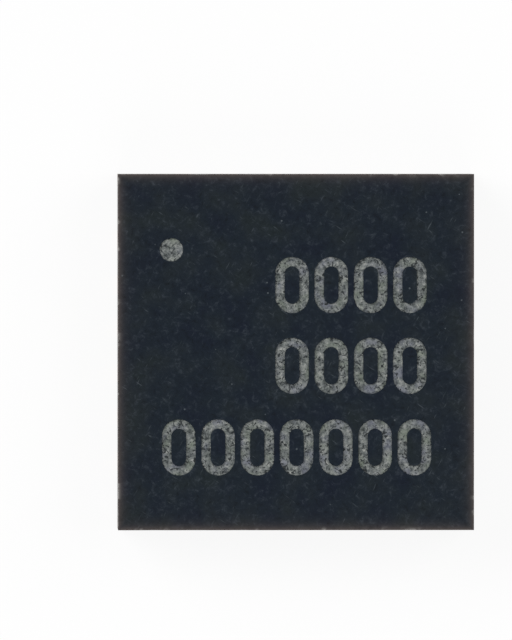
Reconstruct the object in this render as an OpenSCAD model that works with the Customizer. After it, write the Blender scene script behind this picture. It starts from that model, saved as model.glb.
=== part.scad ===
// Quad flat no-lead chip package, sawn from a moulded strip.
// Millimetres. The board side lies on z = 0 and the marked face looks along +Z.
// Lead 1 is at the +Y end of the -X side, and the count runs anticlockwise seen from above.

/* [Package] */
// Length of the moulded body along X
body_x = 4.00; // [3.9:0.05:6]
// Length of the moulded body along Y
body_y = 4.00; // [3.9:0.05:6]
// Height from the board to the marked face
body_h = 0.90; // [0.75:0.05:1.2]
// How far the metal stands below the moulded underside
standoff = 0.02; // [0.01:0.005:0.05]

/* [Leads] */
// Number of leads on each of the four sides
leads_per_side = 6; // [3:1:6]
// Distance between neighbouring leads
lead_pitch = 0.50; // [0.4:0.05:0.55]
// Width of a lead
lead_w = 0.21; // [0.18:0.01:0.3]
// Length of a lead's soldering foot, from the sawn side inwards
lead_l = 0.38; // [0.3:0.01:0.5]
// How far a lead's half-etched tip reaches past its foot
lead_tip = 0.10; // [0.05:0.01:0.14]
// Length over which a tip next to a corner turns away from that corner
corner_slope = 0.145; // [0.13:0.005:0.16]
// Radius of that turn
corner_r = 0.25; // [0.2:0.01:0.3]
// Radius of the tip that is left
corner_tip_r = 0.085; // [0.07:0.005:0.09]

/* [Lead frame] */
// Thickness of the lead frame's sheet
frame_t = 0.20; // [0.13:0.01:0.25]
// Thickness that is left where the sheet is half etched
etched_t = 0.10; // [0.05:0.01:0.12]
// Length of the exposed pad along X
pad_x = 2.45; // [2.1:0.05:2.7]
// Length of the exposed pad along Y
pad_y = 2.45; // [2.1:0.05:2.7]
// How far the pad's half-etched rim reaches past the exposed face
pad_rim = 0.08; // [0.05:0.01:0.1]
// Corner radius of the exposed pad
pad_corner_r = 0.08; // [0.04:0.01:0.15]
// Chamfer on the pad's corner next to lead 1
pad_chamfer = 0.30; // [0.2:0.05:0.4]
// Width of the tie bars that hold the pad to the four corners
tie_w = 0.18; // [0.1:0.01:0.2]

/* [Die] */
// Length of the silicon die along X
die_x = 1.80; // [1.4:0.05:2]
// Length of the silicon die along Y
die_y = 1.80; // [1.4:0.05:2]
// Thickness of the silicon die
die_t = 0.20; // [0.1:0.05:0.3]
// Thickness of the adhesive under the die
attach_t = 0.025; // [0.015:0.005:0.05]
// Width of the adhesive's fillet around the die
attach_fillet_w = 0.05; // [0.02:0.01:0.1]

/* [Bond wires] */
// Diameter of a bond wire
wire_d = 0.025; // [0.02:0.005:0.05]
// Diameter of the ball at the die end
ball_d = 0.06; // [0.05:0.005:0.08]
// Height of the ball at the die end
ball_h = 0.015; // [0.01:0.005:0.03]
// Distance between neighbouring balls on the die
ball_pitch = 0.25; // [0.15:0.01:0.26]
// Distance from the die's edge to the row of balls
ball_inset = 0.08; // [0.05:0.01:0.15]
// Rise of the loop's control points above the die
loop_rise = 0.20; // [0.1:0.02:0.28]
// Length of the flattened stitch on the lead
stitch_l = 0.06; // [0.05:0.01:0.08]
// Distance from the lead's tip to the end of the stitch
stitch_inset = 0.16; // [0.12:0.01:0.2]

/* [Orientation mark] */
// Diameter of the lasered dot beside lead 1
dot_d = 0.26; // [0.15:0.01:0.4]
// Depth of the lasered dot
dot_depth = 0.012; // [0.005:0.001:0.03]
// Distance from the dot's centre to the sawn side at -X
dot_from_side = 0.60; // [0.4:0.05:1]
// Distance from the dot's centre to the sawn side at +Y
dot_from_end = 0.85; // [0.4:0.05:1]

/* [Hidden] */
lead_count = 4 * leads_per_side;
lead_r = lead_w / 2;
etched_z = frame_t - etched_t;
die_z = frame_t + attach_t;
die_top = die_z + die_t;
wire_r = wire_d / 2;
ball_r = ball_d / 2;
// height of the ball's upright side, below its shoulder
ball_side_h = ball_h * 2 / 3;
// half thickness and half width of the wire where the stitch is pressed flat
stitch_half_h = wire_d / 4;
stitch_half_w = wire_d;
wire_sides = 6;
// height of a flat-topped hexagon over its half width
hex_half_h = sin(60);
loop_steps = 7;
// share of the span at which the loop starts to fall
loop_reach = 0.45;
// how far a cut runs past the face that it leaves through
overcut = 0.05;
round_fn = 48;

mould_colour = "#23292f";
plating_colour = "#a69e92";
adhesive_colour = "#b9b7b0";
silicon_colour = "#5d6470";
gold_colour = "#d8a93f";

// Which side a lead is on, and its place along that side
function side_of(n) = floor((n - 1) / leads_per_side);
function step_of(n) = (n - 1) % leads_per_side;

// Steps from the side's middle to a lead, positive towards the side's first lead
function steps_from_middle(n) = (leads_per_side - 1) / 2 - step_of(n);

// Half of an X and Y pair of sizes, measured square to the side that lead n is on
function half_across(n, along_x, along_y) = (side_of(n) % 2 == 0 ? along_x : along_y) / 2;

// +1 on a side's first lead, -1 on its last and 0 on those between
function corner_of(n) = step_of(n) == 0 ? 1 : step_of(n) == leads_per_side - 1 ? -1 : 0;

// Turns a piece that is drawn on the -X side to the side that lead n is on
module on_side(n) {
    rotate([0, 0, 90 * side_of(n)]) children();
}

// Lead

// A lead seen from above: straight from the sawn side at x = 0, with a round tip
module straight_outline(length) {
    translate([0, -lead_r]) square([length - lead_r, lead_w]);
    translate([length - lead_r, 0]) circle(r = lead_r, $fn = round_fn);
}

// The same next to a corner at y < 0: from the shoulder, one wide arc runs smoothly into a smaller tip
module turned_outline(length) {
    shoulder = [length - corner_slope, -lead_r];
    tip = [length - corner_tip_r, lead_r - corner_tip_r];
    span = tip - shoulder;
    // the wide arc passes through the shoulder and shares a tangent with the tip at the touch point
    reach = corner_r - corner_tip_r;
    lift = asin((pow(corner_r, 2) - pow(reach, 2) - span * span) / (2 * reach * norm(span)));
    angle = atan2(span[0], span[1]) + lift;
    normal = [cos(angle), -sin(angle)];
    touch = tip + corner_tip_r * normal;
    polygon([[0, -lead_r], shoulder, touch, tip, [tip[0], lead_r], [0, lead_r]]);
    translate(tip) circle(r = corner_tip_r, $fn = round_fn);
    intersection() {
        translate(tip - reach * normal) circle(r = corner_r, $fn = 3 * round_fn);
        polygon([shoulder, [length, -lead_r], touch]);
    }
}

module lead_outline(length, corner) {
    if (corner == 0) straight_outline(length);
    if (corner < 0) turned_outline(length);
    if (corner > 0) mirror([0, 1]) turned_outline(length);
}

module lead_form(n) {
    on_side(n)
        translate([-half_across(n, body_x, body_y), steps_from_middle(n) * lead_pitch, 0]) {
            linear_extrude(frame_t) lead_outline(lead_l, corner_of(n));
            translate([0, 0, etched_z])
                linear_extrude(etched_t) lead_outline(lead_l + lead_tip, corner_of(n));
        }
}

module lead(n) {
    color(plating_colour) lead_form(n);
}

// Die paddle

// The pad's outline grown by a margin, with the corner next to lead 1 cut off
module pad_outline(grow) {
    half_x = pad_x / 2 + grow;
    half_y = pad_y / 2 + grow;
    round_r = pad_corner_r + grow;
    // grown evenly, the chamfer's face moves out less than the corner that it cuts
    chamfer = pad_chamfer + grow * (2 - sqrt(2));
    difference() {
        union() {
            square([2 * half_x, 2 * (half_y - round_r)], center = true);
            square([2 * (half_x - round_r), 2 * half_y], center = true);
            for (sx = [-1, 1], sy = [-1, 1])
                translate([sx * (half_x - round_r), sy * (half_y - round_r)])
                    circle(r = round_r, $fn = round_fn);
        }
        translate([-half_x, half_y])
            rotate(45)
                square(chamfer * sqrt(2), center = true);
    }
}

// Bars along the body's diagonals, ending flush with its sawn sides
module tie_bars() {
    diagonal = norm([body_x, body_y]);
    slant = atan2(body_y, body_x);
    intersection() {
        square([body_x, body_y], center = true);
        for (angle = [slant, -slant])
            rotate(angle) square([diagonal + tie_w, tie_w], center = true);
    }
}

module die_paddle_form() {
    linear_extrude(frame_t) pad_outline(0);
    translate([0, 0, etched_z])
        linear_extrude(etched_t) {
            pad_outline(pad_rim);
            tie_bars();
        }
}

module die_paddle() {
    color(plating_colour) die_paddle_form();
}

// Die and its adhesive

module die_attach_form() {
    foot_x = die_x + 2 * attach_fillet_w;
    foot_y = die_y + 2 * attach_fillet_w;
    translate([0, 0, frame_t])
        linear_extrude(attach_t, scale = [die_x / foot_x, die_y / foot_y])
            square([foot_x, foot_y], center = true);
}

module die_attach() {
    color(adhesive_colour) die_attach_form();
}

module silicon_die_form() {
    translate([-die_x / 2, -die_y / 2, die_z]) cube([die_x, die_y, die_t]);
}

module silicon_die() {
    color(silicon_colour) silicon_die_form();
}

// Bond wire

function cubic(p, t) =
    pow(1 - t, 3) * p[0] + 3 * pow(1 - t, 2) * t * p[1] + 3 * (1 - t) * t * t * p[2] + t * t * t * p[3];

function cubic_slope(p, t) =
    3 * pow(1 - t, 2) * (p[1] - p[0]) + 6 * (1 - t) * t * (p[2] - p[1]) + 3 * t * t * (p[3] - p[2]);

// The loop's control points as [distance along the span, height]
function loop_points(span) = [
    [0, die_top + ball_h],
    [0, die_top + loop_rise],
    [loop_reach * span, die_top + loop_rise],
    [span - stitch_l, frame_t + wire_r],
];

// Each ring of a wire is [centre, direction of travel, half width, half height]
function wire_rings(span) = concat(
    [
        [[0, die_top], [0, 1], ball_r, ball_r],
        [[0, die_top + ball_side_h], [0, 1], ball_r, ball_r],
    ],
    [
        for (k = [0 : loop_steps])
            let (p = loop_points(span), t = k / loop_steps)
            [cubic(p, t), cubic_slope(p, t) / norm(cubic_slope(p, t)), wire_r, wire_r],
    ],
    [
        for (along = [span - stitch_l / 2, span])
            [[along, frame_t + stitch_half_h * hex_half_h], [1, 0], stitch_half_w, stitch_half_h],
    ]
);

// A ring's corners in space, for a wire that leaves p in the level direction u
function ring_corners(ring, p, u) = [
    for (k = [0 : wire_sides - 1])
        let (
            angle = 360 * k / wire_sides,
            sideways = ring[2] * cos(angle),
            lift = ring[3] * sin(angle),
            along = ring[0][0] - lift * ring[1][1],
            height = ring[0][1] + lift * ring[1][0]
        )
        [p[0] + along * u[0] - sideways * u[1], p[1] + along * u[1] + sideways * u[0], height],
];

// One closed skin over rings of wire_sides corners each
module skin(rings) {
    last = len(rings) - 1;
    polyhedron(
        points = [for (ring = rings) each ring],
        faces = concat(
            [[for (k = [0 : wire_sides - 1]) k]],
            [
                for (r = [0 : last - 1], k = [0 : wire_sides - 1])
                    let (a = r * wire_sides + k, b = r * wire_sides + (k + 1) % wire_sides)
                    each [[a, a + wire_sides, b + wire_sides], [a, b + wire_sides, b]],
            ],
            [[for (k = [wire_sides - 1 : -1 : 0]) last * wire_sides + k]]
        )
    );
}

module bond_wire_form(n) {
    ball = [-half_across(n, die_x, die_y) + ball_inset, steps_from_middle(n) * ball_pitch];
    tip_x = -half_across(n, body_x, body_y) + lead_l + lead_tip;
    stitch = [tip_x - stitch_inset, steps_from_middle(n) * lead_pitch];
    span = norm(stitch - ball);
    on_side(n)
        skin([for (ring = wire_rings(span)) ring_corners(ring, ball, (stitch - ball) / span)]);
}

module bond_wire(n) {
    color(gold_colour) bond_wire_form(n);
}

// Moulded body

// Everything that the compound is cast around
module cast_in_pieces() {
    die_paddle_form();
    die_attach_form();
    silicon_die_form();
    for (n = [1 : lead_count]) {
        lead_form(n);
        bond_wire_form(n);
    }
}

module orientation_dot() {
    translate([-body_x / 2 + dot_from_side, body_y / 2 - dot_from_end, body_h - dot_depth])
        cylinder(d = dot_d, h = dot_depth + overcut, $fn = round_fn);
}

module mould_body() {
    color(mould_colour)
        difference() {
            translate([-body_x / 2, -body_y / 2, standoff])
                cube([body_x, body_y, body_h - standoff]);
            cast_in_pieces();
            orientation_dot();
        }
}

mould_body();
die_paddle();
die_attach();
silicon_die();
for (n = [1 : lead_count]) {
    lead(n);
    bond_wire(n);
}
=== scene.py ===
# %% [markdown]
# # A quad flat no-lead chip
#
# The chip is a square block of black mould compound, sawn out of a moulded strip.
# Copper leads end flush with its sides and stand out a hair below its underside.
# A die with its bond wires is cast inside.
# The CAD model holds every piece at its true size, and this lesson gives each one its finish.

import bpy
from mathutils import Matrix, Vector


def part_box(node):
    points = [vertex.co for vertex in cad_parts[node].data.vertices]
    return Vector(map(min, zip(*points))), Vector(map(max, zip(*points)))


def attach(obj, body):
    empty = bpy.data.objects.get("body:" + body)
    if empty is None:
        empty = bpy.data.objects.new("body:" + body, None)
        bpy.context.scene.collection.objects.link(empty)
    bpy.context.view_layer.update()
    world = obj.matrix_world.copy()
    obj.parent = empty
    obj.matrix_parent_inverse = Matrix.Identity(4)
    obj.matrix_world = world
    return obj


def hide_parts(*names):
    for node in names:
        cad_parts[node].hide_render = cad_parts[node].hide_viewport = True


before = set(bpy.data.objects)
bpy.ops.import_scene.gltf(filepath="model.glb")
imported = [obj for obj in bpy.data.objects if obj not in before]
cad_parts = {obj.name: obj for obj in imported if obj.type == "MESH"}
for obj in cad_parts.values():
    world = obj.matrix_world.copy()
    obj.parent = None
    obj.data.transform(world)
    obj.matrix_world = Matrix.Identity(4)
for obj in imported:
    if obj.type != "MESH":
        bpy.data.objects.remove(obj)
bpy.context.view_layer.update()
print("CAD nodes:", len(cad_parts))

# %% [markdown]
# ## Working in millimetres
#
# A metre is one Blender unit, so this chip is only 0.004 units wide.
# Blender's edit tools carry tolerances of about a millionth of a unit, which is too coarse for a bevel
# of a few micrometres. Each piece is therefore shaped with one unit as a millimetre,
# and one applied scale brings its mesh to metres when it is done.

# %% Sizes that are read from the frame
import math

import bmesh
import bpy
from mathutils import Matrix, Vector, noise

MM = 0.001
# places that are closer than this, in mm, count as one
TOLERANCE = 0.0005

body_low, body_high = (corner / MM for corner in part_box("mould_body"))
body_size = body_high - body_low
body_middle = (body_high + body_low) / 2
print("body in mm:", [round(length, 3) for length in body_size])

# %% [markdown]
# ## The moulded block
#
# On the real chip the compound is pressed around the metal in one strip, and a diamond saw then cuts the
# chips apart. The saw leaves square sides, and the brittle edge around the top breaks off in tiny chips.
# A cube at the CAD's own size could take one even bevel, but an even edge looks like moulded plastic.
# So the rim is cut into short lengths first, and after the bevel each length gets a width of its own.

# %% A cube at the body's size
bpy.ops.object.select_all(action="DESELECT")
bpy.ops.mesh.primitive_cube_add(size=1, location=body_middle, scale=body_size)
block = bpy.context.object
block.name = "mould_block"
bpy.ops.object.transform_apply(location=True, rotation=True, scale=True)
print("block:", len(block.data.polygons), "faces")

# %% A bevelled rim in short lengths
RIM_CUTS = 119
RIM_BEVEL = 0.010
RIM_SEGMENTS = 2


def pick(obj, kind, test):
    """In edit mode, selects the vertices, edges or faces that pass the test."""
    bpy.ops.mesh.select_mode(type=kind)
    bpy.ops.mesh.select_all(action="DESELECT")
    mesh = bmesh.from_edit_mesh(obj.data)
    parts = {"VERT": mesh.verts, "EDGE": mesh.edges, "FACE": mesh.faces}[kind]
    for part in parts:
        part.select_set(bool(test(part)))
    mesh.select_flush_mode()
    bmesh.update_edit_mesh(obj.data)


def on_top(part):
    """Whether an edge or face lies in the marked face's plane."""
    return all(abs(v.co.z - body_high.z) < TOLERANCE for v in part.verts)


bpy.ops.object.mode_set(mode="EDIT")
pick(block, "EDGE", on_top)
bpy.ops.mesh.subdivide(number_cuts=RIM_CUTS)
pick(block, "FACE", on_top)
bpy.ops.mesh.dissolve_faces()
pick(block, "EDGE", on_top)
bpy.ops.mesh.bevel(offset=RIM_BEVEL, segments=RIM_SEGMENTS, affect="EDGES")
bpy.ops.object.mode_set(mode="OBJECT")
print("block:", len(block.data.polygons), "faces after the bevel")

# %% Chips along the rim
CHIPS_PER_MM = 3.2
CRUMBS_PER_MM = 14.0
# widths of the broken edge, as multiples of the bevel
LEAST_WEAR = 0.3
EVEN_WEAR = 0.7
CHIP_WEAR = 2.8
CRUMB_WEAR = 0.45
CHIP_THRESHOLD = 0.2


def wear(spot):
    """How wide the broken edge is at a place on the rim, as a multiple of the bevel."""
    chips = max(0.0, noise.noise(spot * CHIPS_PER_MM) - CHIP_THRESHOLD)
    crumbs = noise.noise(spot * CRUMBS_PER_MM)
    return max(LEAST_WEAR, EVEN_WEAR + CHIP_WEAR * chips + CRUMB_WEAR * crumbs)


widths = []
for vertex in block.data.vertices:
    gaps = [body_high[axis] - abs(vertex.co[axis]) for axis in (0, 1)] + [body_high.z - vertex.co.z]
    if gaps[2] > RIM_BEVEL + TOLERANCE:
        continue
    width = wear(Vector((vertex.co.x, vertex.co.y, 0)))
    widths.append(width * RIM_BEVEL)
    for axis, gap in enumerate(gaps):
        if gap < RIM_BEVEL + TOLERANCE:
            side = -1 if vertex.co[axis] < 0 else 1
            vertex.co[axis] = side * (body_high[axis] - gap * width)
print("broken edge in mm:", round(min(widths), 4), "to", round(max(widths), 4))

# %% [markdown]
# ## Pockets for the cast-in pieces
#
# The compound fits every lead, the paddle, the die and the wires without a gap.
# Copies of those CAD nodes are the exact shape of the hollows, so a boolean cuts each one out.
# A CAD mesh is loose triangles, so a copy is merged first, and its flat faces are made whole.

# %% Cut the pockets
MERGE_GAP = 1e-5
FLAT_ANGLE = math.radians(0.5)


def focus(obj):
    """Makes this the only selected piece, and the active one."""
    bpy.ops.object.select_all(action="DESELECT")
    obj.select_set(True)
    bpy.context.view_layer.objects.active = obj


def merged_copy(node, name):
    """A copy of a CAD node in millimetres, with its triangles merged and its flat faces whole."""
    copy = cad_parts[node].copy()
    copy.data = copy.data.copy()
    copy.name = name
    copy.parent = None
    for key in list(copy.keys()):
        del copy[key]
    copy.data.materials.clear()
    copy.data.transform(Matrix.Scale(1 / MM, 4))
    bpy.context.scene.collection.objects.link(copy)
    focus(copy)
    bpy.ops.object.mode_set(mode="EDIT")
    bpy.ops.mesh.select_all(action="SELECT")
    bpy.ops.mesh.remove_doubles(threshold=MERGE_GAP)
    bpy.ops.mesh.dissolve_limited(angle_limit=FLAT_ANGLE)
    bpy.ops.mesh.customdata_custom_splitnormals_clear()
    bpy.ops.object.mode_set(mode="OBJECT")
    return copy


def cut(obj, cutter):
    """Subtracts the cutter from the piece and deletes it."""
    modifier = obj.modifiers.new("cut", "BOOLEAN")
    modifier.operation = "DIFFERENCE"
    modifier.solver = "MANIFOLD"
    modifier.object = cutter
    focus(obj)
    bpy.ops.object.modifier_apply(modifier=modifier.name)
    bpy.data.objects.remove(cutter)


cast_in = [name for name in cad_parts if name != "mould_body"]
for name in cast_in:
    cut(block, merged_copy(name, "pocket"))
# pockets that meet along an edge leave slivers there, which a merge takes away
bpy.ops.object.mode_set(mode="EDIT")
bpy.ops.mesh.select_all(action="SELECT")
bpy.ops.mesh.remove_doubles(threshold=MERGE_GAP)
bpy.ops.object.mode_set(mode="OBJECT")
print("block:", len(block.data.polygons), "faces with", len(cast_in), "pockets")

# %% [markdown]
# ## Lasered marks
#
# A laser burns the marks a few micrometres into the face: a dot beside lead 1, and rows of plain zeros.
# One zero is modelled as a filled circle, stretched to a stadium, inset to a stroke and extruded.
# A text object would do as well, but this way keeps the stroke's width exact.
# Each copy is jittered a little, because the burnt edge is ragged.

# %% One zero as a flat outline
STROKE = 0.105
ZERO_WIDTH = 0.375
ZERO_HEIGHT = 0.63
MARK_CORNERS = 96
MARK_DEPTH = 0.012
mark_floor = body_high.z - MARK_DEPTH


def disc(radius, place):
    """A flat, filled circle, with its place applied to its mesh."""
    bpy.ops.object.select_all(action="DESELECT")
    bpy.ops.mesh.primitive_circle_add(vertices=MARK_CORNERS, radius=radius, fill_type="NGON", location=place)
    bpy.ops.object.transform_apply(location=True, rotation=True, scale=True)
    return bpy.context.object


zero = disc(ZERO_WIDTH / 2, (0, 0, mark_floor))
bpy.ops.object.mode_set(mode="EDIT")
stretch = (ZERO_HEIGHT - ZERO_WIDTH) / 2
for end in (1, -1):
    pick(zero, "VERT", lambda v: v.co.y * end > TOLERANCE)
    bpy.ops.transform.translate(value=(0, end * stretch, 0))
bpy.ops.mesh.select_mode(type="FACE")
bpy.ops.mesh.select_all(action="SELECT")
bpy.ops.mesh.inset(thickness=STROKE)
bpy.ops.mesh.delete(type="FACE")
bpy.ops.object.mode_set(mode="OBJECT")
print("zero:", len(zero.data.vertices), "corners")

# %% Rows of zeros
RAGGED = 0.003
OVERCUT = 0.02
ZERO_PITCH = 0.441
# each row: the first zero's place along X, the row's middle along Y, and its number of zeros
ROWS = [(-0.045, 0.754, 4), (-0.045, -0.152, 4), (-1.317, -1.069, 7)]


def burn(outline, seed):
    """Jitters a flat outline within its plane, raises it above the face and cuts it out of the block."""
    focus(outline)
    bpy.ops.object.mode_set(mode="EDIT")
    bpy.ops.mesh.select_all(action="SELECT")
    bpy.ops.transform.vertex_random(offset=RAGGED, seed=seed)
    bpy.ops.transform.resize(value=(1, 1, 0), center_override=(0, 0, mark_floor))
    bpy.ops.mesh.extrude_region_move(TRANSFORM_OT_translate={"value": (0, 0, MARK_DEPTH + OVERCUT)})
    bpy.ops.mesh.select_all(action="SELECT")
    bpy.ops.mesh.normals_make_consistent(inside=False)
    bpy.ops.object.mode_set(mode="OBJECT")
    cut(block, outline)


places = [(x + n * ZERO_PITCH, y, 0) for x, y, count in ROWS for n in range(count)]
for seed, place in enumerate(places):
    mark = zero.copy()
    mark.data = zero.data.copy()
    mark.data.transform(Matrix.Translation(place))
    bpy.context.scene.collection.objects.link(mark)
    burn(mark, seed)
bpy.data.objects.remove(zero)
print("zeros:", len(places))

# %% The dot, where the CAD body has its recess
body_points = [vertex.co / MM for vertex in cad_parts["mould_body"].data.vertices]
recess = [point for point in body_points if abs(point.z - mark_floor) < TOLERANCE]
dot_low = Vector((min(p.x for p in recess), min(p.y for p in recess), mark_floor))
dot_high = Vector((max(p.x for p in recess), max(p.y for p in recess), mark_floor))
dot_radius = (dot_high.x - dot_low.x) / 2

burn(disc(dot_radius, (dot_low + dot_high) / 2), len(places))
print("dot radius in mm:", round(dot_radius, 3), "block faces:", len(block.data.polygons))

# %% [markdown]
# ## Colours and nodes
#
# Every colour is written as the sRGB value that a colour picker shows, and one function turns it to linear.
# One more function adds a shader node, sets it and links it, so that a material reads from top to bottom.
# Patterns are laid out on Object coordinates in millimetres, so each scale below is a real size on the chip.
#
# A finish is a base colour, layers of other colours that show through masks, and the shader's own values.

# %% Helpers for materials
SOFT = {"interpolation_type": "SMOOTHSTEP"}


def colour(code):
    """An sRGB hex value as linear red, green, blue and alpha."""
    parts = [int(code[i : i + 2], 16) / 255 for i in (1, 3, 5)]
    return tuple(c / 12.92 if c <= 0.04045 else ((c + 0.055) / 1.055) ** 2.4 for c in parts) + (1.0,)


def add(tree, kind, inputs=None, stops=(), **settings):
    """Adds a node, sets it, gives each input a value or a link, and returns the node's outputs."""
    node = tree.nodes.new("ShaderNode" + kind)
    for name, value in settings.items():
        setattr(node, name, value)
    for index, (place, code) in enumerate(stops):
        elements = node.color_ramp.elements
        element = elements[index] if index < 2 else elements.new(place)
        element.position = place
        element.color = colour(code)
    for name, value in (inputs or {}).items():
        if isinstance(value, bpy.types.NodeSocket):
            tree.links.new(value, node.inputs[name])
        else:
            node.inputs[name].default_value = value
    return node.outputs


def new_material(name):
    """A material and its node tree, still empty."""
    material = bpy.data.materials.new(name)
    material.use_nodes = True
    material.node_tree.nodes.clear()
    return material, material.node_tree


def complete(tree, base, layers, inputs):
    """Lays each layer's colour over the base through its mask, and closes the material with its shader."""
    for mask, code in layers:
        base = add(tree, "Mix", {"Factor": mask, "A": base, "B": colour(code)}, data_type="RGBA")["Result"]
    shader = add(tree, "BsdfPrincipled", {"Base Color": base, **inputs})["BSDF"]
    add(tree, "OutputMaterial", {"Surface": shader})
    print("layers:", len(layers), "nodes:", len(tree.nodes))


def place_in_mm(tree, stretch=(1, 1, 1), turn=0):
    """Object coordinates in millimetres, turned about Z by degrees, then each axis times its stretch."""
    coords = add(tree, "TexCoord")["Object"]
    turned = {"Vector": coords, "Rotation": (0, 0, math.radians(turn)), "Scale": (1 / MM, 1 / MM, 1 / MM)}
    spot = add(tree, "Mapping", turned)["Vector"]
    return add(tree, "VectorMath", {0: spot, 1: stretch}, operation="MULTIPLY")["Vector"]


print("middle grey in linear light:", round(colour("#808080")[0], 3))

# %% [markdown]
# ## Mould compound, moulded face
#
# Epoxy filled with fused silica and carbon black, pressed against an eroded steel mould.
# The eye sees a matte slate black with soft clouds, a fine grain of pits, pale filler specks and scuffs,
# and a paler, warmer band of saw dust along the edges, with pale nicks where they broke off.
# The pale colour of the nicks is also a painted highlight of the broken edge.
# A picture could be wrapped over the face, but it would blur in a close view, so noise makes it all.

# %% Moulded face: clouds and grain
CLOUDS_PER_MM = 2.4
# the mould's own grain is finer still, and is drawn as coarse as it needs to show
GRAIN_PER_MM = 15.0

# silica and carbon black in epoxy, as an eroded mould leaves it: matte, cloudy, finely pitted slate black
moulded, tree = new_material("mould_compound_moulded")
spot = place_in_mm(tree)
clouds = add(tree, "TexNoise", {"Vector": spot, "Scale": CLOUDS_PER_MM, "Detail": 4.0})["Fac"]
# the black drifts from a deep blue to a lighter, more neutral slate
drift = [(0.32, "#131b28"), (0.5, "#172029"), (0.58, "#1b232a"), (0.68, "#1c2428")]
slate = add(tree, "ValToRGB", {"Fac": clouds}, stops=drift)["Color"]
texture = {"Vector": spot, "Scale": GRAIN_PER_MM, "Detail": 5.0, "Roughness": 0.72, "Distortion": 0.5}
grain = add(tree, "TexNoise", texture)["Fac"]
crests = add(tree, "MapRange", {"Value": grain, "From Min": 0.5, "From Max": 0.85}, **SOFT)["Result"]
pits = add(tree, "MapRange", {"Value": grain, "From Min": 0.5, "From Max": 0.15}, **SOFT)["Result"]
layers = [(crests, "#3c434b"), (pits, "#0b0f14")]
print("clouds and grain in mm:", round(1 / CLOUDS_PER_MM, 3), round(1 / GRAIN_PER_MM, 3))

# %% Moulded face: scuffs
SCUFFS_PER_MM = 48.0
SCUFF_STRETCH = 7.0
SCUFF_ANGLES = (34, 118)

# short faint scuffs, each set in its own direction and only in some clouds
scuffed = add(tree, "MapRange", {"Value": clouds, "From Min": 0.42, "From Max": 0.58}, **SOFT)["Result"]
for angle in SCUFF_ANGLES:
    along = place_in_mm(tree, (SCUFFS_PER_MM / SCUFF_STRETCH, SCUFFS_PER_MM, 1), angle)
    lines = add(tree, "TexNoise", {"Vector": along, "Scale": 1.0, "Detail": 1.0})["Fac"]
    thin = add(tree, "MapRange", {"Value": lines, "From Min": 0.68, "From Max": 0.82}, **SOFT)["Result"]
    layers.append((add(tree, "Math", {0: thin, 1: scuffed}, operation="MULTIPLY")["Value"], "#3d444a"))
print("scuffs in mm:", round(SCUFF_STRETCH / SCUFFS_PER_MM, 3), "by", round(1 / SCUFFS_PER_MM, 3))

# %% Moulded face: specks of filler
SPECKS_PER_MM = 5.5
SPECK_RADIUS = 0.010


def specks(tree, per_mm, radius, share):
    """Round specks of this radius in millimetres, in a share of the cells of a scattered grid."""
    cells = add(tree, "TexVoronoi", {"Vector": place_in_mm(tree), "Scale": per_mm})
    chance = add(tree, "SeparateColor", {"Color": cells["Color"]})["Red"]
    kept = add(tree, "Math", {0: chance, 1: share}, operation="LESS_THAN")["Value"]
    # each speck's rim is soft, from 1.3 down to 0.7 of its radius
    rim = {"Value": cells["Distance"], "From Min": 1.3 * radius * per_mm, "From Max": 0.7 * radius * per_mm}
    discs = add(tree, "MapRange", rim, **SOFT)["Result"]
    return add(tree, "Math", {0: kept, 1: discs}, operation="MULTIPLY")["Value"]


layers.append((specks(tree, SPECKS_PER_MM, SPECK_RADIUS, 0.3), "#4b5257"))
print("specks in mm:", 2 * SPECK_RADIUS, "across")

# %% Moulded face: dust, and nicks with a painted highlight, at the edges
# how far in the dust reaches and how dense it is: thick at the edge, with a thin haze beyond
DUST = [(0.036, 1.0), (0.16, 0.055)]
# how far in the pale nicks and their painted edge highlight reach, in mm, and how many come to a mm
NICK_AND_HIGHLIGHT_FADE = 0.012
NICKS_AND_HIGHLIGHTS_PER_MM = 6.0


def edge_fade(tree, length):
    """A mask that is white at the sawn sides and falls to about a third over this length in millimetres."""
    axes = add(tree, "SeparateXYZ", {"Vector": place_in_mm(tree)})
    gaps = []
    for axis, half in (("X", body_high.x), ("Y", body_high.y)):
        far = add(tree, "Math", {0: axes[axis]}, operation="ABSOLUTE")["Value"]
        gaps.append(add(tree, "Math", {0: half, 1: far}, operation="SUBTRACT")["Value"])
    gap = add(tree, "Math", {0: gaps[0], 1: gaps[1]}, operation="MINIMUM")["Value"]
    fall = add(tree, "Math", {0: gap, 1: -1 / length}, operation="MULTIPLY")["Value"]
    return add(tree, "Math", {0: fall}, operation="EXPONENT")["Value"]


# dust fades inwards and thins out in patches
for reach, share in DUST:
    thinned = {"Value": grain, "From Min": 0.1, "From Max": 0.6, "To Min": 0.5 * share, "To Max": share}
    patches = add(tree, "MapRange", thinned, **SOFT)["Result"]
    dust = add(tree, "Math", {0: edge_fade(tree, reach), 1: patches}, operation="MULTIPLY")["Value"]
    layers.append((dust, "#564e4b"))
# nicks at the very edge bare the pale filler, and their pale colour is also a painted highlight of the
# broken edge
nick_and_highlight_noise = add(tree, "TexNoise", {"Vector": spot, "Scale": NICKS_AND_HIGHLIGHTS_PER_MM, "Detail": 2.0})["Fac"]
nick_and_highlight_patches = add(tree, "MapRange", {"Value": nick_and_highlight_noise, "From Min": 0.61, "From Max": 0.70}, **SOFT)["Result"]
nicks_and_edge_highlight = add(tree, "Math", {0: edge_fade(tree, NICK_AND_HIGHLIGHT_FADE), 1: nick_and_highlight_patches}, operation="MULTIPLY")["Value"]
layers.append((nicks_and_edge_highlight, "#9a9895"))
print("layers on the face:", len(layers))

# %% Moulded face: shader
GRAIN_DEPTH = 0.004

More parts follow.
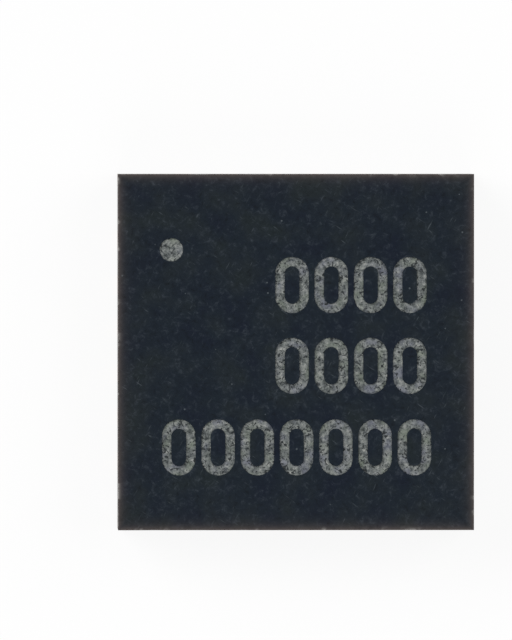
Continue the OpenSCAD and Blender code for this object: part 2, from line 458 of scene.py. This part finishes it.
gloss = {"Value": grain, "From Min": 0.3, "From Max": 0.7, "To Min": 0.55, "To Max": 0.75}
relief = {"Height": grain, "Distance": GRAIN_DEPTH * MM, "Strength": 0.25}
inputs = {
    "Roughness": add(tree, "MapRange", gloss, **SOFT)["Result"],
    "IOR": 1.55,
    "Specular IOR Level": 0.11,
    "Normal": add(tree, "Bump", relief)["Normal"],
}
complete(tree, slate, layers, inputs)

# %% [markdown]
# ## Mould compound, lasered marks
#
# The laser burns the resin off, so the marks show bare silica grains with dark pits between them.
# The eye sees a light, rough grey that sparkles from grain to grain and leans to green here, to lilac there.
# One noise gives the grains and their relief, a slow one the tint, and a distorted one the pits.

# %% Lasered marks
BURNT_GRAINS_PER_MM = 22.0
BURNT_DEPTH = 0.010
PITS_PER_MM = 21.0
TINTS_PER_MM = 6.0

# silica laid bare by the laser: rough, grainy light grey with dark pits
lasered, tree = new_material("mould_compound_lasered")
spot = place_in_mm(tree)
texture = {"Vector": spot, "Scale": BURNT_GRAINS_PER_MM, "Detail": 3.0, "Roughness": 0.7}
grains = add(tree, "TexNoise", texture)["Fac"]
burnt = [(0.30, "#2e3234"), (0.42, "#595e5e"), (0.58, "#818583"), (0.74, "#aaaba6")]
ash = add(tree, "ValToRGB", {"Fac": grains}, stops=burnt)["Color"]
tints = add(tree, "TexNoise", {"Vector": spot, "Scale": TINTS_PER_MM, "Detail": 2.0})["Fac"]
layers = []
for far, code in ((0.75, "#747d6f"), (0.25, "#717484")):
    tinge = {"Value": tints, "From Min": 0.5, "From Max": far, "To Max": 0.55}
    layers.append((add(tree, "MapRange", tinge, **SOFT)["Result"], code))
# the pits are ragged holes, so a distorted noise draws them and not round specks
ragged = {"Vector": spot, "Scale": PITS_PER_MM, "Detail": 1.0, "Distortion": 1.5}
holes = add(tree, "TexNoise", ragged)["Fac"]
deep = add(tree, "MapRange", {"Value": holes, "From Min": 0.46, "From Max": 0.32}, **SOFT)["Result"]
layers.append((deep, "#2b2f31"))
gloss = {"Value": grains, "From Min": 0.3, "From Max": 0.7, "To Min": 0.85, "To Max": 0.6}
relief = {"Height": grains, "Distance": BURNT_DEPTH * MM, "Strength": 0.5}
inputs = {
    "Roughness": add(tree, "MapRange", gloss, **SOFT)["Result"],
    "IOR": 1.46,
    "Specular IOR Level": 0.25,
    "Normal": add(tree, "Bump", relief)["Normal"],
}
complete(tree, ash, layers, inputs)

# %% [markdown]
# ## Mould compound, sawn sides
#
# The diamond blade cuts through resin and silica alike and runs along the side.
# The eye sees a grey paler than the moulded face, drawn into level streaks and dotted with cut silica balls.
# A noise stretched along the side gives the streaks, and scattered discs of three sizes give the balls.
# The saw also leaves a slight polish, which turns the sides bright when they are seen edge on.

# %% Sawn sides
# a blade's real lines are about five times as fine, and are drawn as coarse as they need to show
SAW_LINES_PER_MM = 42.0
SAW_LINES_ALONG = 1.6
SAW_DEPTH = 0.003
MOTTLE_PER_MM = 20.0
# each size of ball: cells per mm, radius in mm, share of the cells, and colour
SILICA = [(40.0, 0.008, 0.7, "#65625f"), (22.0, 0.014, 0.4, "#6f6c68"), (11.0, 0.024, 0.25, "#77746f")]

# epoxy and silica cut by a diamond blade: slightly polished grey with level streaks and round pale dots
sawn, tree = new_material("mould_compound_sawn")
texture = {"Vector": place_in_mm(tree), "Scale": MOTTLE_PER_MM, "Detail": 4.0, "Roughness": 0.7}
mottle = add(tree, "TexNoise", texture)["Fac"]
tones = [(0.3, "#383736"), (0.5, "#484644"), (0.7, "#5b5855")]
resin = add(tree, "ValToRGB", {"Fac": mottle}, stops=tones)["Color"]
along = place_in_mm(tree, (SAW_LINES_ALONG, SAW_LINES_ALONG, SAW_LINES_PER_MM))
streaks = add(tree, "TexNoise", {"Vector": along, "Scale": 1.0, "Detail": 4.0})["Fac"]
drawn = {"Value": streaks, "From Min": 0.5, "From Max": 0.8, "To Max": 0.5}
layers = [(add(tree, "MapRange", drawn, **SOFT)["Result"], "#6c6965")]
for per_mm, radius, share, code in SILICA:
    layers.append((specks(tree, per_mm, radius, share), code))
gloss = {"Value": streaks, "From Min": 0.3, "From Max": 0.7, "To Min": 0.28, "To Max": 0.42}
relief = {"Height": streaks, "Distance": SAW_DEPTH * MM, "Strength": 0.25}
inputs = {
    "Roughness": add(tree, "MapRange", gloss, **SOFT)["Result"],
    "IOR": 1.55,
    "Normal": add(tree, "Bump", relief)["Normal"],
}
complete(tree, resin, layers, inputs)

# %% [markdown]
# ## Mould compound, underside
#
# A tape covers this side of the strip while the compound is pressed in, so it comes out smooth.
# The eye sees an even, deep black with a faint sheen, a little paler where the saw rubbed the edge.
# The rubbed edge uses the same fade as the dust on the moulded face, over a narrower strip.

# %% Underside
TAPE_CLOUDS_PER_MM = 9.0
TAPE_DEPTH = 0.002
RUBBED_FADE = 0.028

# epoxy pressed against a smooth tape: even, deep black with a faint sheen
underside, tree = new_material("mould_compound_underside")
texture = {"Vector": place_in_mm(tree), "Scale": TAPE_CLOUDS_PER_MM, "Detail": 3.0}
clouds = add(tree, "TexNoise", texture)["Fac"]
black = add(tree, "ValToRGB", {"Fac": clouds}, stops=[(0.3, "#060c11"), (0.7, "#0b1217")])["Color"]
layers = [(specks(tree, SPECKS_PER_MM, SPECK_RADIUS, 0.25), "#232a2e")]
layers.append((edge_fade(tree, RUBBED_FADE), "#3c3a39"))
gloss = {"Value": clouds, "From Min": 0.3, "From Max": 0.7, "To Min": 0.34, "To Max": 0.46}
relief = {"Height": clouds, "Distance": TAPE_DEPTH * MM, "Strength": 0.2}
inputs = {
    "Roughness": add(tree, "MapRange", gloss, **SOFT)["Result"],
    "IOR": 1.55,
    "Specular IOR Level": 0.07,
    "Normal": add(tree, "Bump", relief)["Normal"],
}
complete(tree, black, layers, inputs)

# %% [markdown]
# ## A finish for each face of the block
#
# One block carries four finishes, because each face met a different tool.
# The direction of a face and its depth below the top tell which tool that was.

# %% Finishes on the block
MOULDED, LASERED, SAWN, UNDERSIDE = range(4)
# the marks lie further from the sides than this, in mm
RIM_REACH = 10 * RIM_BEVEL
# the rim stays dusty down to this depth, and only a deeper chip bares the pale filler
DUSTY_DEPTH = 0.7 * RIM_BEVEL
# the least share of a face's normal along Z, for a face that is level and for one that is tilted
LEVEL = 0.99
TILTED = 0.1


def finish_of(face):
    """Which of the block's four finishes a face has."""
    depth = body_high.z - face.center.z
    inside = min(body_high.x - abs(face.center.x), body_high.y - abs(face.center.y))
    if depth < MARK_DEPTH + TOLERANCE and inside > RIM_REACH:
        return LASERED if depth > TOLERANCE else MOULDED
    if face.normal.z < -LEVEL:
        return UNDERSIDE
    if face.normal.z > TILTED and depth < DUSTY_DEPTH:
        return MOULDED
    return SAWN


def to_metres(obj):
    """Applies the one scale that brings a finished piece from millimetres to metres."""
    focus(obj)
    obj.scale = (MM, MM, MM)
    bpy.ops.object.transform_apply(location=True, rotation=True, scale=True)


block.data.materials.clear()
for material in (moulded, lasered, sawn, underside):
    block.data.materials.append(material)
for face in block.data.polygons:
    face.material_index = finish_of(face)
to_metres(block)
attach(block, "root")
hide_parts("mould_body")
finishes = [face.material_index for face in block.data.polygons]
print("faces moulded, lasered, sawn, underside:", [finishes.count(kind) for kind in range(4)])

# %% [markdown]
# ## Plated copper
#
# The lead frame is etched from rolled copper sheet and plated with nickel and palladium.
# The eye sees a warm, silvery grey with fine lines, all in the direction in which the sheet was rolled.
# The ends that the saw cut are bare copper: dull pink, dragged into streaks along the side.
# A metal with the noise stretched along one axis gives both, each with its own direction.

# %% Palladium plating
# rolling lines are about four times as fine, and are drawn as coarse as they need to show
ROLLED_LINES_PER_MM = 55.0
ROLLED_LINES_ALONG = 2.0
ROLLED_DEPTH = 0.002
BLOTCHES_PER_MM = 7.0
STAINS_PER_MM = 9.0
STAIN_RADIUS = 0.008

# palladium over nickel on rolled copper: satin, warm silver grey with lines all one way
plating, tree = new_material("palladium_plating")
along = place_in_mm(tree, (ROLLED_LINES_ALONG, ROLLED_LINES_PER_MM, ROLLED_LINES_PER_MM))
lines = add(tree, "TexNoise", {"Vector": along, "Scale": 1.0, "Detail": 3.0})["Fac"]
silver_grey = add(tree, "ValToRGB", {"Fac": lines}, stops=[(0.3, "#cfc6b6"), (0.7, "#dbd3c5")])["Color"]
texture = {"Vector": place_in_mm(tree), "Scale": BLOTCHES_PER_MM, "Detail": 3.0}
blotches = add(tree, "TexNoise", texture)["Fac"]
tinge = {"Value": blotches, "From Min": 0.5, "From Max": 0.75, "To Max": 0.4}
layers = [(add(tree, "MapRange", tinge, **SOFT)["Result"], "#cbc1b4")]
layers.append((specks(tree, STAINS_PER_MM, STAIN_RADIUS, 0.3), "#a79f92"))
gloss = {"Value": lines, "From Min": 0.3, "From Max": 0.7, "To Min": 0.42, "To Max": 0.52}
relief = {"Height": lines, "Distance": ROLLED_DEPTH * MM, "Strength": 0.12}
inputs = {
    "Metallic": 1.0,
    "Roughness": add(tree, "MapRange", gloss, **SOFT)["Result"],
    "Normal": add(tree, "Bump", relief)["Normal"],
}
complete(tree, silver_grey, layers, inputs)

# %% Sawn copper
# bare copper dragged by the blade: dull pink with level streaks, brighter where it is freshly rubbed
bare_copper, tree = new_material("sawn_copper")
along = place_in_mm(tree, (SAW_LINES_ALONG, SAW_LINES_ALONG, SAW_LINES_PER_MM))
streaks = add(tree, "TexNoise", {"Vector": along, "Scale": 1.0, "Detail": 4.0})["Fac"]
tones = [(0.3, "#8d6350"), (0.5, "#ab7b65"), (0.7, "#c69d88")]
pink = add(tree, "ValToRGB", {"Fac": streaks}, stops=tones)["Color"]
gloss = {"Value": streaks, "From Min": 0.3, "From Max": 0.7, "To Min": 0.52, "To Max": 0.36}
relief = {"Height": streaks, "Distance": SAW_DEPTH * MM, "Strength": 0.4}
inputs = {
    "Metallic": 1.0,
    "Roughness": add(tree, "MapRange", gloss, **SOFT)["Result"],
    "Normal": add(tree, "Bump", relief)["Normal"],
}
complete(tree, pink, [], inputs)

# %% [markdown]
# ## Leads and paddle
#
# Etching and deburring leave every soldering foot with a shallow, rolled rim around a flat middle.
# A bevel would be as deep as it is wide, and the foot only stands out by 0.02 mm.
# So each underside is inset by the rim's width, and the outline is then lifted by a few micrometres.

# %% Rolled rims on the feet
FOOT_RIM = 0.030
FOOT_LIFT = 0.006
SMOOTH_ANGLE = math.radians(25)
# the most that an upright face's normal may lean along Z
UPRIGHT = 0.5
PLATED, BARE = range(2)


def on_foot(face):
    """Whether a face lies in the plane of the soldering feet."""
    return face.normal.z < -LEVEL and face.calc_center_median().z < TOLERANCE


def on_outline(vertex):
    """Whether a vertex of the underside also belongs to an upright face."""
    return vertex.co.z < TOLERANCE and any(abs(face.normal.z) < UPRIGHT for face in vertex.link_faces)


def on_sawn_side(face):
    """Whether a face lies in one of the four planes that the saw cut."""
    ends = (abs(face.center.x) - body_high.x, abs(face.center.y) - body_high.y)
    return abs(face.normal.z) < UPRIGHT and max(ends) > -TOLERANCE


metal_nodes = ["die_paddle"] + [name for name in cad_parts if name.startswith("lead_")]
bare_faces = 0
for name in metal_nodes:
    metal = merged_copy(name, "plated_" + name)
    bpy.ops.object.mode_set(mode="EDIT")
    pick(metal, "FACE", on_foot)
    bpy.ops.mesh.inset(thickness=FOOT_RIM)
    pick(metal, "VERT", on_outline)
    bpy.ops.transform.translate(value=(0, 0, FOOT_LIFT))
    bpy.ops.object.mode_set(mode="OBJECT")
    bpy.ops.object.shade_smooth_by_angle(angle=SMOOTH_ANGLE)
    metal.data.materials.append(plating)
    metal.data.materials.append(bare_copper)
    for face in metal.data.polygons:
        face.material_index = BARE if on_sawn_side(face) else PLATED
        bare_faces += face.material_index
    to_metres(metal)
    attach(metal, "root")
    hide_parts(name)
print("plated pieces:", len(metal_nodes), "bare ends:", bare_faces)

# %% [markdown]
# ## Die, adhesive and bond wires
#
# These are cast in and come to light only when the package is opened, so their CAD shapes serve as they are.
# The eye would see a bluish mirror with blocks of circuits and streets between them on the die,
# a paste with bright silver flakes under it, and smooth yellow gold wire.
# Square cells without any scatter give the circuit blocks, and scattered ones the flakes.

# %% Silicon die
BLOCKS_PER_MM = 9.0

# polished silicon under its circuits: a bluish mirror, in blocks that differ a little
silicon, tree = new_material("silicon")
grid = {"Vector": place_in_mm(tree), "Scale": BLOCKS_PER_MM, "Randomness": 0.0}
blocks = add(tree, "TexVoronoi", grid, distance="CHEBYCHEV")
chance = add(tree, "SeparateColor", {"Color": blocks["Color"]})
tones = [(0.0, "#454c5a"), (0.5, "#5d6470"), (1.0, "#747a80")]
circuits = add(tree, "ValToRGB", {"Fac": chance["Red"]}, stops=tones)["Color"]
edge = {"Value": blocks["Distance"], "From Min": 0.40, "From Max": 0.46}
streets = add(tree, "MapRange", edge, **SOFT)["Result"]
gloss = {"Value": chance["Green"], "To Min": 0.12, "To Max": 0.26}
inputs = {
    "Metallic": 0.7,
    "Roughness": add(tree, "MapRange", gloss)["Result"],
}
complete(tree, circuits, [(streets, "#8f8a78")], inputs)

# %% Silver epoxy
# flakes are finer still, and are drawn as coarse as they need to show
FLAKES_PER_MM = 60.0
FLAKE_DEPTH = 0.003

# silver flakes in clear epoxy, cured: grainy, satin and pale
silver_paste, tree = new_material("silver_epoxy")
flakes = add(tree, "TexVoronoi", {"Vector": place_in_mm(tree), "Scale": FLAKES_PER_MM})
chance = add(tree, "SeparateColor", {"Color": flakes["Color"]})
tones = [(0.0, "#9c9a93"), (1.0, "#cfcdc6")]
pale = add(tree, "ValToRGB", {"Fac": chance["Red"]}, stops=tones)["Color"]
gloss = {"Value": chance["Green"], "To Min": 0.35, "To Max": 0.6}
relief = {"Height": flakes["Distance"], "Distance": FLAKE_DEPTH * MM, "Strength": 0.5}
inputs = {
    "Metallic": 0.6,
    "Roughness": add(tree, "MapRange", gloss)["Result"],
    "Normal": add(tree, "Bump", relief)["Normal"],
}
complete(tree, pale, [], inputs)

# %% Gold wire
# drawing marks are finer still, and are drawn as coarse as they need to show
DRAWN_MARKS_PER_MM = 90.0

# pure gold drawn through a diamond die: smooth and deep yellow, with faint marks
gold_wire, tree = new_material("gold_wire")
texture = {"Vector": place_in_mm(tree), "Scale": DRAWN_MARKS_PER_MM, "Detail": 3.0}
marks = add(tree, "TexNoise", texture)["Fac"]
yellow = add(tree, "ValToRGB", {"Fac": marks}, stops=[(0.3, "#cf9c35"), (0.7, "#e6bd5c")])["Color"]
gloss = {"Value": marks, "From Min": 0.3, "From Max": 0.7, "To Min": 0.18, "To Max": 0.3}
inputs = {
    "Metallic": 1.0,
    "Roughness": add(tree, "MapRange", gloss, **SOFT)["Result"],
}
complete(tree, yellow, [], inputs)

# %% Finishes on the cast-in CAD nodes
inner = {"silicon_die": silicon, "die_attach": silver_paste}
inner.update({name: gold_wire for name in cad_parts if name.startswith("bond_wire_")})
for name, material in inner.items():
    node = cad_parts[name]
    node.data.materials.clear()
    node.data.materials.append(material)
print("CAD nodes with a finish:", len(inner))

# %% [markdown]
# ## White table
#
# The chip lies on plain white paper. A sheet that is only lit would turn grey around the chip.
# So what a camera sees of it, directly or in a reflection, shines at full white for its larger share.
# The lit share keeps the soft shadow that seats the chip.

# %% Floor
# in metres
FLOOR_SIZE = 2.0
GLOW_SHARE = 0.90
# in mm: the feet and the sheet don't share one plane, because a ray could then meet either of them first
FLOOR_GAP = 0.002

bpy.ops.object.select_all(action="DESELECT")
bpy.ops.mesh.primitive_plane_add(size=FLOOR_SIZE, location=(0, 0, -FLOOR_GAP * MM))
floor = bpy.context.object
floor.name = "floor"
# matte paper: even white that takes a soft shadow
white_paper, tree = new_material("white_paper")
path = add(tree, "LightPath")
seen = path["Is Camera Ray"]
for ray in ("Is Glossy Ray", "Is Transmission Ray"):
    seen = add(tree, "Math", {0: seen, 1: path[ray]}, operation="MAXIMUM")["Value"]
share = add(tree, "Math", {0: seen, 1: GLOW_SHARE}, operation="MULTIPLY")["Value"]
paper = add(tree, "BsdfDiffuse", {"Color": colour("#fcfcfc")})["BSDF"]
glow = add(tree, "Emission", {"Strength": 1.0})["Emission"]
mixed = add(tree, "MixShader", {0: share, 1: paper, 2: glow})["Shader"]
add(tree, "OutputMaterial", {"Surface": mixed})
floor.data.materials.append(white_paper)
print("floor in m:", FLOOR_SIZE)

# %% [markdown]
# ## Light
#
# Three large soft lamps stand around the chip, the strongest at the upper left,
# so the left and upper sides are the brightest and the marked face is lit evenly.
# Each lamp's power follows from the share of white that it should give a level card.

# %% Lamps and world
WORLD_LEVEL = 0.12
# how far each lamp stands off and how wide it is, in metres
LAMP_DISTANCE = 0.8
LAMP_SIZE = 0.6

world = bpy.data.worlds.new("studio")
bpy.context.scene.world = world
world.use_nodes = True
background = world.node_tree.nodes["Background"]
background.inputs["Color"].default_value = colour("#ffffff")
background.inputs["Strength"].default_value = WORLD_LEVEL


def softbox(name, azimuth, elevation, level):
    """A square lamp aimed at the chip, which lights a level white card to this share of white."""
    a, e = math.radians(azimuth), math.radians(elevation)
    back = Vector((math.cos(a) * math.cos(e), math.sin(a) * math.cos(e), math.sin(e)))
    lamp = bpy.data.lights.new(name, "AREA")
    lamp.shape = "SQUARE"
    lamp.size = LAMP_SIZE
    lamp.energy = level * math.pi**2 * LAMP_DISTANCE**2 / math.sin(e)
    holder = bpy.data.objects.new(name, lamp)
    holder.location = back * LAMP_DISTANCE
    holder.rotation_euler = back.to_track_quat("Z", "Y").to_euler()
    bpy.context.scene.collection.objects.link(holder)


softbox("key", azimuth=150, elevation=34, level=0.50)
softbox("fill", azimuth=20, elevation=42, level=0.30)
softbox("front", azimuth=270, elevation=42, level=0.20)

# %% [markdown]
# ## Camera
#
# The chip is seen from almost straight above with a long lens. The camera stands a little to the upper left,
# which shows a sliver of the left and upper sides. Its aim puts the chip's middle at the measured pixel.

# %% Camera
# the picture's size, and the chip's width and middle in it, in pixels
PHOTO_WIDTH = 512
PHOTO_HEIGHT = 640
CHIP_WIDTH_PX = 356.4
CHIP_CENTRE_PX = (296.1, 352.2)
# the camera's height over the marked face, its place to the side, and its sensor, in mm
CAMERA_DISTANCE = 120.0
CAMERA_OFFSET = (-3.0, 2.4)
SENSOR = 36.0

px_per_mm = CHIP_WIDTH_PX / body_size.x
camera_data = bpy.data.cameras.new("camera")
camera_data.sensor_width = SENSOR
camera_data.lens = SENSOR * CAMERA_DISTANCE / (PHOTO_HEIGHT / px_per_mm)
camera_data.clip_start = 0.001
camera_data.clip_end = 1.0
camera = bpy.data.objects.new("camera", camera_data)
bpy.context.scene.collection.objects.link(camera)
aim_x = (PHOTO_WIDTH / 2 - CHIP_CENTRE_PX[0]) / px_per_mm
aim_y = (CHIP_CENTRE_PX[1] - PHOTO_HEIGHT / 2) / px_per_mm
aim = Vector((aim_x, aim_y, body_high.z))
seat = Vector((*CAMERA_OFFSET, body_high.z + CAMERA_DISTANCE))
back = (seat - aim).normalized()
right = Vector((0, 1, 0)).cross(back).normalized()
turn = Matrix((right, back.cross(right), back)).transposed()
camera.matrix_world = Matrix.Translation(seat * MM) @ turn.to_4x4()
bpy.context.scene.camera = camera
bpy.context.scene.view_settings.view_transform = "Standard"
print("lens in mm:", round(camera_data.lens, 1))
